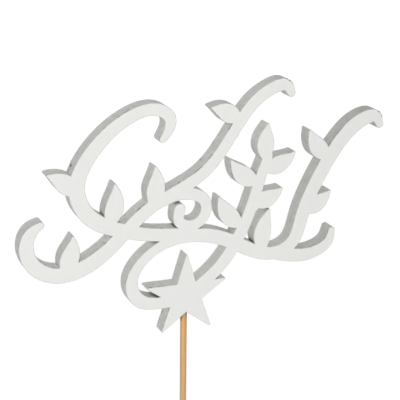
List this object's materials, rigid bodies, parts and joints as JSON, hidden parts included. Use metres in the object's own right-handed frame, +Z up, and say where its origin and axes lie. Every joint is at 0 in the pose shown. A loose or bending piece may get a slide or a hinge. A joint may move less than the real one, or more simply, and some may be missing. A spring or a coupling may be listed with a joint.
{
  "type": "cake topper",
  "caption": "Flat openwork scroll-and-leaf ornament with a star at its foot, cut from one painted board and glued onto a round wooden skewer that is pushed into a cake.",
  "frame": {"origin": "the lower point of the skewer, on its axis", "axes": "+Z up along the skewer, +X to the right as seen from the front, +Y from the board's front face to its back"},
  "size_m": [0.1414, 0.0064, 0.2157],
  "materials": {
    "painted_board": "matte white paint over smooth fibreboard, edges painted too",
    "bamboo": "bare round bamboo, fine lengthwise grain"
  },
  "bodies": {
    "root": {"ornament_board": "painted_board", "skewer": "bamboo"}
  },
  "joints": []
}
